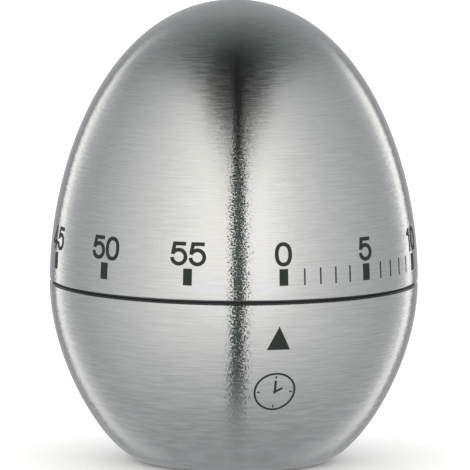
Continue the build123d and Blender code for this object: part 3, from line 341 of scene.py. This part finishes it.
def makeScale():
    marks, numerals = [], []
    numeralFoot = ink["markFoot"] + ink["markHeight"] + ink["numeralGap"]
    halfMark = math.degrees(ink["markWidth"] / 2 / widest)
    for minute in range(60):
        block, extra = minute // 5, minute % 5
        facing = ink["zeroFacing"] + 5 * ink["degreesPerMinute"] * block
        if extra == 0:
            place = placeOnShell("dome", facing, ink["markFoot"])
            marks.append(blockSolid(ink["markWidth"], ink["markHeight"], place))
            numerals += numeralSolids(str(minute), placeOnShell("dome", facing, numeralFoot))
        elif minute < ink["tickMinutes"]:
            # the ticks share the clear space between two marks evenly
            facing += halfMark + (5 * ink["degreesPerMinute"] - 2 * halfMark) * extra / 5
            place = placeOnShell("dome", facing, ink["markFoot"])
            marks.append(blockSolid(ink["tickWidth"], ink["markHeight"], place))
    return buildMesh("scale_marks", marks), buildMesh("scale_numerals", numerals)


def makePointer():
    # triangle: across is s times the half width that is left at height t
    s, t = np.meshgrid(np.linspace(-1, 1, 17), np.linspace(0, 0.995, 24))
    x = s * (1 - t) * ink["pointerBase"] / 2
    y = (t - 0.5) * ink["pointerHeight"]
    place = placeOnShell("cup", ink["pointerFacing"], ink["pointerMiddle"])
    return buildMesh("pointer", [inkSolid(x, y, place)])


emblemForm = {
    "middle": 15.0,  # mm below the seam edge, along the shell
    "radius": 3.3,
    "ring": 0.32,
    "hand": 0.36,
    "tick": 0.22,
    "tickSpan": (0.74, 0.88),  # shares of the radius where a tick starts and ends
    "handSpans": ((90, (-0.08, 0.62)), (30, (-0.08, 0.42))),  # each hand's turn in degrees, and its span
}


def makeEmblem():
    # plain roundel with two clock hands and four ticks
    place = placeOnShell("cup", ink["pointerFacing"], emblemForm["middle"])
    radius = emblemForm["radius"]
    ring = arc(0, 0, radius, radius, 0, 360, 97)[:-1]
    solids = [inkSolid(*strokeGrid(ring, emblemForm["ring"], True), place, True)]
    strokes = [(turn, emblemForm["tickSpan"], emblemForm["tick"]) for turn in (0, 90, 180, 270)]
    strokes += [(turn, span, emblemForm["hand"]) for turn, span in emblemForm["handSpans"]]
    for turn, span, width in strokes:
        ends = np.stack([arc(0, 0, share * radius, share * radius, turn, turn, 1)[0] for share in span])
        solids.append(inkSolid(*strokeGrid(ends, width), place))
    return buildMesh("emblem", solids)


scaleMarks, scaleNumerals = makeScale()
pointer = makePointer()
emblem = makeEmblem()
for piece, body in (
        (scaleMarks, "dial"), (scaleNumerals, "dial"), (pointer, "base"), (emblem, "base")):
    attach(piece, body)
print("print made")


def makeClickSpring():
    # a copy of the click spring's wire takes the place of the CAD node, with its placement baked into the
    # mesh
    wire = nodes["click_spring"]
    piece = bpy.data.objects.new("click_spring_wire", wire.data.copy())
    piece.matrix_world = wire.matrix_world
    bpy.context.scene.collection.objects.link(piece)
    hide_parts("click_spring")
    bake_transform(piece)
    return piece


clickSpring = makeClickSpring()
print("click spring made")


# ---- brushed stainless shells ----
brushed = {
    "dark": "#bebebc",
    "light": "#ccccca",
    "roughness": 0.19,
    "spread": 0.025,
    "anisotropic": 1.0,
    # drawn coarser than life: real brush lines lie 0.05 to 0.1 mm apart and would not show
    "linePitch": 0.17,  # mm between brush lines
    "lineLength": 5.0,  # mm, how far one line runs before it fades
    "nickPitch": 0.27,  # mm, the short dents that the abrasive leaves on top
    "nickLength": 0.28,
    "wander": 0.034,  # how far a dent's surface tips sideways
}


def makeBrushedStainless():
    # Stainless sheet brushed with abrasive while it spins: fine lines round the axis. They smear
    # reflections up and down and leave them sharp from side to side.
    material, tree, shader = startMaterial("brushed stainless sheet", {
        "Metallic": 1.0, "Anisotropic": brushed["anisotropic"], "Anisotropic Rotation": 0.25})
    point = addNode(tree, "SeparateXYZ", links={0: addNode(tree, "TexCoord").outputs["Object"]})
    flat = addNode(tree, "CombineXYZ", links={0: point.outputs[0], 1: point.outputs[1]})
    radius = addNode(tree, "VectorMath", {"operation": "LENGTH"}, {0: flat}).outputs["Value"]
    outwards = addNode(tree, "VectorMath", {"operation": "NORMALIZE"}, {0: flat})
    height = addNode(tree, "Math", {"operation": "SUBTRACT"}, {0: point.outputs[2], 1: radius})
    patterns = []
    for length, pitch in (
            (brushed["lineLength"], brushed["linePitch"]), (brushed["nickLength"], brushed["nickPitch"])):
        # noise on a point that goes round the axis by the length and up the profile by the pitch
        rise = addNode(tree, "Math", {"operation": "DIVIDE"}, {0: height, 1: pitch * mm})
        lift = addNode(tree, "CombineXYZ", links={2: rise})
        spot = addNode(tree, "VectorMath", {"operation": "MULTIPLY_ADD"}, {
            0: outwards, 1: (widest / length, widest / length, 0), 2: lift})
        patterns.append(addNode(tree, "TexNoise", links={
            "Vector": spot, "Scale": 1.0, "Detail": 1.0, "Roughness": 0.6}).outputs["Fac"])
    lines, nicks = patterns
    vary(tree, shader, lines, brushed)
    tangent = addNode(tree, "Tangent", {"direction_type": "RADIAL", "axis": "Z"})
    tree.links.new(tangent.outputs[0], shader.inputs["Tangent"])
    # each dent leans a little to one side: the normal plus the tangent times the lean
    lean = addNode(tree, "MapRange", links={
        "Value": nicks, "From Min": noiseLow, "From Max": noiseHigh,
        "To Min": -brushed["wander"], "To Max": brushed["wander"]})
    sideways = addNode(tree, "VectorMath", {"operation": "SCALE"}, {0: tangent, "Scale": lean})
    leaned = addNode(tree, "VectorMath", {"operation": "ADD"}, {
        0: addNode(tree, "NewGeometry").outputs["Normal"], 1: sideways})
    straight = addNode(tree, "VectorMath", {"operation": "NORMALIZE"}, {0: leaned})
    tree.links.new(straight.outputs[0], shader.inputs["Normal"])
    return material


# ---- plastics, rubber and ink: grain is the pattern's size and relief its depth, in mm ----
softFinishes = {
    "black_moulding": {
        # ABS from a spark-eroded tool: near black, soft sheen, a fine even grain
        "name": "moulded black ABS", "dark": "#101312", "light": "#1b1e1d",
        "roughness": 0.42, "spread": 0.06, "grain": 0.15, "relief": 0.01, "ior": 1.53,
    },
    "foot_rubber": {
        # moulded nitrile rubber: matt, a little dusty
        "name": "moulded nitrile rubber", "dark": "#1a1a19", "light": "#282827",
        "roughness": 0.8, "spread": 0.08, "grain": 0.3, "relief": 0.02, "ior": 1.52,
    },
    "white_acetal": {
        # natural acetal: milky white and waxy, with faint flow clouds
        "name": "moulded natural acetal", "dark": "#dcd8cc", "light": "#ece9df",
        "roughness": 0.38, "spread": 0.05, "grain": 1.5, "relief": 0.004, "ior": 1.48,
    },
    "screen_ink": {
        # stoved two-part screen ink: green-black, nearly matt, a little uneven where the mesh laid it down
        "name": "stoved screen ink", "dark": "#131a15", "light": "#1f2722",
        "roughness": 0.68, "spread": 0.08, "grain": 0.25, "relief": 0.004, "ior": 1.43,
    },
}


def makeSoftFinish(look):
    material, tree, shader = startMaterial(look["name"], {"IOR": look["ior"]})
    grain = addNode(tree, "TexNoise", links={
        "Vector": addNode(tree, "TexCoord").outputs["Object"],
        "Scale": 1 / (look["grain"] * mm), "Detail": 2.0})
    vary(tree, shader, grain.outputs["Fac"], look, look["relief"])
    return material


# ---- metals of the movement: marks are the pattern's size in mm along x, y and z ----
metalFinishes = {
    "zinc_screw": {
        # zinc plate over a rolled screw: bluish, softly clouded
        "name": "bright zinc-plated steel", "dark": "#a4a9af", "light": "#c4c8cc",
        "roughness": 0.25, "spread": 0.05, "marks": (0.5, 0.5, 0.5), "relief": 0.002,
    },
    "plate_steel": {
        # nickel over rolled sheet: straight rolling marks under a warm grey shine
        "name": "nickel-plated rolled steel", "dark": "#a3a4a2", "light": "#bebebb",
        "roughness": 0.3, "spread": 0.06, "marks": (3.6, 0.12, 0.12), "relief": 0.002,
    },
    "bell_steel": {
        # polished before plating: almost a mirror, with a slight unevenness from the press
        "name": "polished nickel-plated steel", "dark": "#c0c1be", "light": "#d3d3d0",
        "roughness": 0.12, "spread": 0.03, "marks": (3.0, 3.0, 3.0), "relief": 0.01,
    },
    "arbor_steel": {
        # turned bright steel: fine rings across the axis
        "name": "turned bright steel", "dark": "#a0a2a5", "light": "#c0c1c2",
        "roughness": 0.22, "spread": 0.05, "marks": (1.0, 1.0, 0.1), "relief": 0.002,
    },
    "wheel_brass": {
        # stamped from rolled sheet: golden, with straight rolling marks
        "name": "stamped rolled brass", "dark": "#ab8540", "light": "#cfaa60",
        "roughness": 0.28, "spread": 0.06, "marks": (3.0, 0.12, 0.12), "relief": 0.002,
    },
    "spring_steel": {
        # strip tempered blue in air: dark and a little cloudy
        "name": "blued spring steel", "dark": "#363e4b", "light": "#566073",
        "roughness": 0.3, "spread": 0.06, "marks": (2.4, 0.6, 0.6), "relief": 0.002,
    },
}


def makeMetalFinish(look):
    material, tree, shader = startMaterial(look["name"], {"Metallic": 1.0})
    marks = addNode(tree, "Mapping", links={
        "Vector": addNode(tree, "TexCoord").outputs["Object"],
        "Scale": [1 / (size * mm) for size in look["marks"]]})
    grain = addNode(tree, "TexNoise", links={"Vector": marks, "Scale": 1.0, "Detail": 3.0, "Roughness": 0.6})
    vary(tree, shader, grain.outputs["Fac"], look, look["relief"])
    return material


def dress():
    finishes = {"brushed_shell": makeBrushedStainless()}
    for slot, look in softFinishes.items():
        finishes[slot] = makeSoftFinish(look)
    for slot, look in metalFinishes.items():
        finishes[slot] = makeMetalFinish(look)
    for part in frame["record"]["subparts"]:
        materials = nodes[part["node"]].data.materials
        materials.clear()
        materials.append(finishes[part["material_slot"]])
    added = [(piece, "screen_ink") for piece in (scaleMarks, scaleNumerals, pointer, emblem)]
    for piece, slot in added + [(clickSpring, "spring_steel")]:
        piece.data.materials.clear()
        piece.data.materials.append(finishes[slot])


dress()
print("finishes assigned")


# ---- studio: floor, light all round, camera ----
studio = {
    "floorSize": 12.0,  # m
    "floorColour": "#f4f4f2",
    "sunPower": 3.0,
    "sunAngle": 150,  # degrees across, so that it casts hardly any shadow
    "sunHeight": 1.3,  # m
    "eyeLevel": (-12.0, -3.0),  # degrees of elevation between the screens' lower and upper parts
    "tableGlow": 0.47,  # brightness that the table gives the underside of the steel
    "glowFrom": -14.0,  # degrees of elevation where the table's glow starts
    "glowFull": -72.0,
    "gapFacing": 3.0,  # degrees, where the dark gap between the two screens faces
    "gapHalf": 4.3,  # degrees, half the gap's width
    "gapSoft": 1.2,  # degrees over which its edge fades
    "gapLevel": 0.06,
    "gapEnds": (-44.0, -68.0),  # degrees of elevation over which it fades away towards the table
    "gapWidens": (-32.0, -62.0),  # degrees of elevation over which it grows wider
    "gapWidth": 2.4,  # times as wide at the lower one
    "background": "#f7f7f6",  # what the camera sees behind the object
    "edgeSoft": 7.0,  # degrees over which the screens' top edge fades
}
# brightness of the screens round the object, above and below eye level, as
# (degrees round from the front, level)
screenRound = [
    (-180, 0.52), (-166, 0.48), (-156, 0.40), (-150, 0.32), (-148.5, 1.4), (-142, 1.4),
    (-134, 0.80), (-122, 0.61), (-108, 0.61), (-90, 0.74), (-66, 0.96), (-42, 1.24), (-18, 1.54),
    (18, 1.62), (42, 1.14), (66, 0.86), (90, 0.70), (108, 0.61), (122, 0.60), (134, 0.78),
    (142, 1.5), (148.5, 1.5), (150, 0.32), (156, 0.40), (166, 0.48), (180, 0.52),
]
screenBelow = [
    (-180, 0.50), (-166, 0.46), (-156, 0.38), (-150, 0.28), (-148.5, 1.3), (-142, 1.3),
    (-134, 0.80), (-122, 0.61), (-108, 0.61), (-90, 0.72), (-66, 0.90), (-42, 1.08), (-18, 1.16),
    (18, 1.20), (42, 1.0), (66, 0.82), (90, 0.69), (108, 0.60), (122, 0.60), (134, 0.78),
    (142, 1.4), (148.5, 1.4), (150, 0.28), (156, 0.38), (166, 0.46), (180, 0.50),
]
# elevation of the screens' top edge, as (degrees from the gap's middle, degrees up)
screenTop = [
    (0, 32), (10, 36), (20, 43), (45, 54), (70, 57), (95, 52), (115, 44), (130, 26), (148, 16),
    (152, 42), (180, 55),
]
# brightness of the ceiling above that edge, which dims towards the zenith, as
# (degrees from the gap's middle, level)
ceilingRound = [(0, 0.0), (30, 0.006), (60, 0.02), (90, 0.08), (126, 0.22), (180, 0.3)]
ceilingFade = [(30, 1.8), (90, 0.4)]  # (degrees up, share of that level)
# the light's colour by its brightness: green-grey where dim, cool in the middle, slightly warm where bright
lightTint = {
    "brightest": 1.5,
    "shades": [(0.0, "#d2fff0"), (0.15, "#ecfffa"), (0.42, "#f8fbff"), (0.9, "#fcfdff"), (1.4, "#fffefc")],
}


def makeFloor():
    half = studio["floorSize"] / 2
    x, y = np.meshgrid(np.linspace(-half, half, 3), np.linspace(-half, half, 3))
    mesh = bpy.data.meshes.new("floor")
    corners = np.stack([x.ravel(), y.ravel(), np.full(9, cadBounds[0][2])], axis=1)
    mesh.from_pydata(corners, [], [(0, 1, 4, 3), (1, 2, 5, 4), (3, 4, 7, 6), (4, 5, 8, 7)])
    floor = bpy.data.objects.new("floor", mesh)
    bpy.context.scene.collection.objects.link(floor)
    mesh.materials.append(startMaterial("matt white board", {
        "Base Color": linear(studio["floorColour"]), "Roughness": 0.9, "Specular IOR Level": 0.1})[0])
    floor.visible_glossy = False  # the steel reflects the screens and the table glow around it instead


def makeScreens():
    # The world is a ring of pale screens with a narrow gap at the front, a dim ceiling and a pale table.
    world = bpy.data.worlds.new("studio screens")
    bpy.context.scene.world = world
    world.use_nodes = True
    tree = world.node_tree
    tree.nodes.clear()
    direction = addNode(tree, "SeparateXYZ", links={0: addNode(tree, "TexCoord").outputs["Generated"]})
    towards = addNode(tree, "Math", {"operation": "MULTIPLY"}, {0: direction.outputs[1], 1: -1.0})
    turn = addNode(tree, "Math", {"operation": "ARCTAN2"}, {0: direction.outputs[0], 1: towards})
    facing = addNode(tree, "Math", {"operation": "DEGREES"}, {0: turn})
    tilt = addNode(tree, "Math", {"operation": "ARCSINE"}, {0: direction.outputs[2]})
    elevation = addNode(tree, "Math", {"operation": "DEGREES"}, {0: tilt})
    offset = addNode(tree, "Math", {"operation": "SUBTRACT"}, {0: facing, 1: studio["gapFacing"]})
    fromGap = addNode(tree, "Math", {"operation": "ABSOLUTE"}, {0: offset})

    # tables read by a ramp: degrees become 0..1, and levels are scaled to stay under one and back again
    tables = {}
    for name, (value, low, stops, peak) in {
        "screens": (facing, -180, screenRound, 2.0),
        "below": (facing, -180, screenBelow, 2.0),
        "top": (fromGap, 0, screenTop, 90.0),
        "ceiling": (fromGap, 0, ceilingRound, 1.0),
    }.items():
        share = addNode(tree, "MapRange", links={"Value": value, "From Min": low, "From Max": 180})
        table = addNode(tree, "ValToRGB", links={"Fac": share})
        setStops(table, [((place - low) / (180 - low), level / peak) for place, level in stops])
        tables[name] = addNode(tree, "Math", {"operation": "MULTIPLY"}, {0: table, 1: peak})

    # screens, with their lower part below eye level, fading into the table's glow lower down
    soft = {"interpolation_type": "SMOOTHSTEP"}
    eyeLevel = addNode(tree, "MapRange", soft, {
        "Value": elevation, "From Min": studio["eyeLevel"][0], "From Max": studio["eyeLevel"][1]})
    screens = addNode(tree, "Mix", {"data_type": "FLOAT"}, {
        0: eyeLevel, 2: tables["below"], 3: tables["screens"]})
    low = addNode(tree, "MapRange", soft, {
        "Value": elevation, "From Min": studio["glowFull"], "From Max": studio["glowFrom"]})
    sides = addNode(tree, "Mix", {"data_type": "FLOAT"}, {0: low, 2: studio["tableGlow"], 3: screens})
    # the gap, which widens and fades towards the table
    width = addNode(tree, "MapRange", links={
        "Value": elevation, "From Min": studio["gapWidens"][1], "From Max": studio["gapWidens"][0],
        "To Min": studio["gapWidth"], "To Max": 1.0})
    edge = addNode(tree, "MapRange", soft, {
        "Value": addNode(tree, "Math", {"operation": "DIVIDE"}, {0: fromGap, 1: width}),
        "From Min": studio["gapHalf"] - studio["gapSoft"],
        "From Max": studio["gapHalf"] + studio["gapSoft"], "To Min": studio["gapLevel"]})
    gapOpen = addNode(tree, "MapRange", soft, {
        "Value": elevation, "From Min": studio["gapEnds"][1], "From Max": studio["gapEnds"][0]})
    gap = addNode(tree, "Mix", {"data_type": "FLOAT"}, {0: gapOpen, 2: 1.0, 3: edge})
    split = addNode(tree, "Math", {"operation": "MULTIPLY"}, {0: sides, 1: gap})
    # the ceiling above the screens' top edge
    over = addNode(tree, "Math", {"operation": "SUBTRACT"}, {0: elevation, 1: tables["top"]})
    upper = addNode(tree, "MapRange", soft, {
        "Value": over, "From Min": -studio["edgeSoft"], "From Max": studio["edgeSoft"]})
    fade = addNode(tree, "MapRange", links={
        "Value": elevation, "From Min": ceilingFade[0][0], "From Max": ceilingFade[1][0],
        "To Min": ceilingFade[0][1], "To Max": ceilingFade[1][1]})
    ceiling = addNode(tree, "Math", {"operation": "MULTIPLY"}, {0: tables["ceiling"], 1: fade})
    level = addNode(tree, "Mix", {"data_type": "FLOAT"}, {0: upper, 2: split, 3: ceiling})
    tint = addNode(tree, "ValToRGB", links={"Fac": addNode(tree, "MapRange", links={
        "Value": level, "From Max": lightTint["brightest"]})})
    setStops(tint, [(at / lightTint["brightest"], linear(shade)) for at, shade in lightTint["shades"]])
    glow = addNode(tree, "Background", links={"Color": tint, "Strength": level})
    plain = addNode(tree, "Background", links={"Color": linear(studio["background"]), "Strength": 1.0})
    seen = addNode(tree, "LightPath").outputs["Is Camera Ray"]
    mixed = addNode(tree, "MixShader", links={0: seen, 1: glow, 2: plain})
    addNode(tree, "OutputWorld", links={"Surface": mixed})


def makeFill():
    # very soft light from overhead that reaches only the matt surfaces
    light = bpy.data.lights.new("overhead fill", "SUN")
    light.angle = math.radians(studio["sunAngle"])
    light.energy = studio["sunPower"]
    lamp = bpy.data.objects.new("overhead fill", light)
    lamp.location = (0, 0, studio["sunHeight"])
    lamp.visible_glossy = False
    lamp.visible_camera = False
    bpy.context.scene.collection.objects.link(lamp)


cameraForm = {
    "elevation": 7.05,  # degrees above the horizon
    "distance": 1.8,  # m
    "frameWidth": 76.56,  # mm across the picture at the object's axis
    "sensor": 36.0,  # mm
    "clipEnd": 50,  # m
    "aimHeight": 37.01,  # mm
    "aimSide": 0.16,
    "roll": 0.3,  # degrees
}


def makeCamera():
    elevation = math.radians(cameraForm["elevation"])
    camera = bpy.data.objects.new("camera", bpy.data.cameras.new("camera"))
    camera.data.sensor_width = cameraForm["sensor"]
    camera.data.lens = cameraForm["sensor"] * cameraForm["distance"] / (cameraForm["frameWidth"] * mm)
    camera.data.clip_end = cameraForm["clipEnd"]
    away = cameraForm["distance"]
    camera.location = (cameraForm["aimSide"] * mm, -away * math.cos(elevation),
                       cameraForm["aimHeight"] * mm + away * math.sin(elevation))
    camera.rotation_mode = "ZXY"  # its own roll first, then the tilt
    camera.rotation_euler = (math.pi / 2 - elevation, 0, math.radians(cameraForm["roll"]))
    bpy.context.scene.collection.objects.link(camera)
    bpy.context.scene.camera = camera


makeFloor()
makeScreens()
makeFill()
makeCamera()
bpy.context.scene.view_settings.view_transform = "Standard"
print("studio ready")
